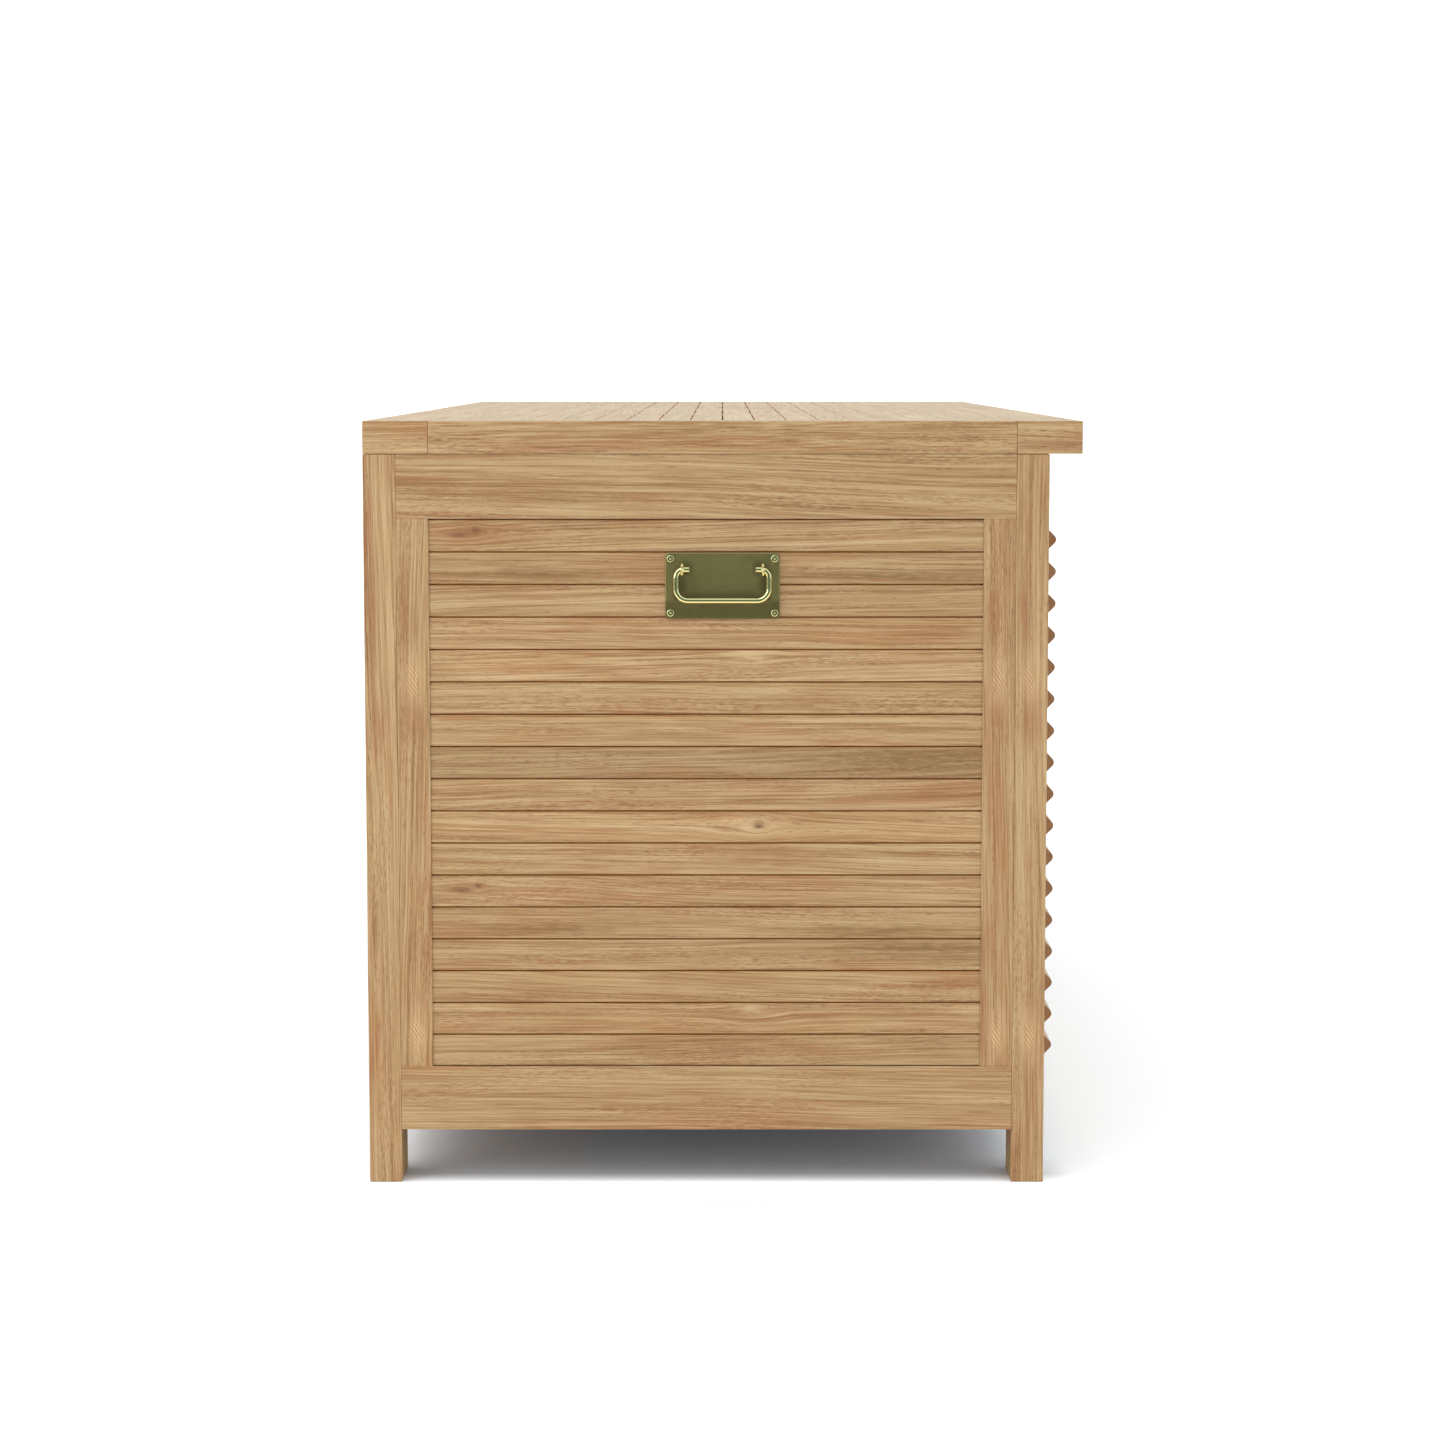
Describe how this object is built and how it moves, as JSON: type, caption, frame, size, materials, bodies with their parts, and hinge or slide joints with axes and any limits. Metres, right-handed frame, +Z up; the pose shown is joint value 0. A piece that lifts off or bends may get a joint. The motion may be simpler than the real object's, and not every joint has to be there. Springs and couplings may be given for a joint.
{
  "type": "deck storage box",
  "caption": "Wooden garden chest on four legs with a framed hinged lid on stays, a louvred front, slatted back, ends and floor, and a swinging brass handle on each end.",
  "frame": {"origin": "on the ground, under the middle of the whole object's box", "axes": "+X along the box to its right end, the louvred front faces -Y, +Z up"},
  "size_m": [1.6128, 0.6704, 0.71],
  "materials": {
    "teak_frame": "sanded, untreated teak",
    "teak_slats": "sanded, untreated teak",
    "teak_louvres": "sanded, untreated teak",
    "teak_lid": "sanded, untreated teak",
    "teak_floor": "planed, untreated teak",
    "antique_brass": "satin olive antique",
    "polished_brass": "polished",
    "hinge_brass": "satin",
    "stay_brass": "satin"
  },
  "bodies": {
    "box": {"leg_front_left": "teak_frame", "leg_back_left": "teak_frame", "end_top_rail_left": "teak_frame", "end_bottom_rail_left": "teak_frame", "end_stile_front_left": "teak_frame", "end_stile_back_left": "teak_frame", "end_slats_left": "teak_slats", "handle_plate_left": "antique_brass", "leg_front_right": "teak_frame", "leg_back_right": "teak_frame", "end_top_rail_right": "teak_frame", "end_bottom_rail_right": "teak_frame", "end_stile_front_right": "teak_frame", "end_stile_back_right": "teak_frame", "end_slats_right": "teak_slats", "handle_plate_right": "antique_brass", "front_top_rail": "teak_frame", "front_bottom_rail": "teak_frame", "back_top_rail": "teak_frame", "back_bottom_rail": "teak_frame", "front_muntin_1": "teak_frame", "back_muntin_1": "teak_frame", "front_muntin_2": "teak_frame", "back_muntin_2": "teak_frame", "front_muntin_3": "teak_frame", "back_muntin_3": "teak_frame", "front_louvres_bay_1": "teak_louvres", "back_slats_bay_1": "teak_slats", "front_louvres_bay_2": "teak_louvres", "back_slats_bay_2": "teak_slats", "front_louvres_bay_3": "teak_louvres", "back_slats_bay_3": "teak_slats", "front_louvres_bay_4": "teak_louvres", "back_slats_bay_4": "teak_slats", "floor_bearers": "teak_floor", "floor_slats": "teak_floor", "hinge_box_leaves": "hinge_brass", "hinge_pins": "hinge_brass", "hinge_screws_box": "hinge_brass", "stay_posts": "stay_brass", "handle_eye_posts": "polished_brass", "handle_screws": "polished_brass"},
    "lid": {"lid_end_rail_left": "teak_lid", "lid_end_rail_right": "teak_lid", "lid_cross_rail_1": "teak_lid", "lid_cross_rail_2": "teak_lid", "lid_cross_rail_3": "teak_lid", "lid_slats_bay_1": "teak_lid", "lid_slats_bay_2": "teak_lid", "lid_slats_bay_3": "teak_lid", "lid_slats_bay_4": "teak_lid", "lid_front_rail": "teak_lid", "lid_back_rail": "teak_lid", "hinge_lid_leaves": "hinge_brass", "hinge_screws_lid": "hinge_brass", "stay_brackets": "stay_brass"},
    "stay_arm_left": {"stay_arm_left": "stay_brass"},
    "stay_arm_right": {"stay_arm_right": "stay_brass"},
    "bail_left": {"handle_bail_left": "polished_brass"},
    "bail_right": {"handle_bail_right": "polished_brass"}
  },
  "joints": [
    {"name": "lid_hinge", "type": "hinge", "parent": "box", "child": "lid", "pos_m": [0, 0.33025, 0.6798], "axis": [-1, 0, 0], "range_deg": [0, 100]},
    {"name": "stay_left_pivot", "type": "hinge", "parent": "lid", "child": "stay_arm_left", "pos_m": [-0.7525, 0.12773, 0.6658], "axis": [-1, 0, 0], "range_deg": [-50, 0]},
    {"name": "bail_left_swing", "type": "hinge", "parent": "box", "child": "bail_left", "pos_m": [-0.8, -0.00525, 0.5744], "axis": [0, 1, 0], "range_deg": [-10, 190]},
    {"name": "stay_right_pivot", "type": "hinge", "parent": "lid", "child": "stay_arm_right", "pos_m": [0.7525, 0.12773, 0.6658], "axis": [-1, 0, 0], "range_deg": [-50, 0]},
    {"name": "bail_right_swing", "type": "hinge", "parent": "box", "child": "bail_right", "pos_m": [0.8, -0.00525, 0.5744], "axis": [0, -1, 0], "range_deg": [-10, 190]}
  ],
  "couplings": [
    {"joint": "stay_left_pivot", "follows": "lid_hinge", "ratio": -0.5},
    {"joint": "stay_right_pivot", "follows": "lid_hinge", "ratio": -0.5}
  ]
}
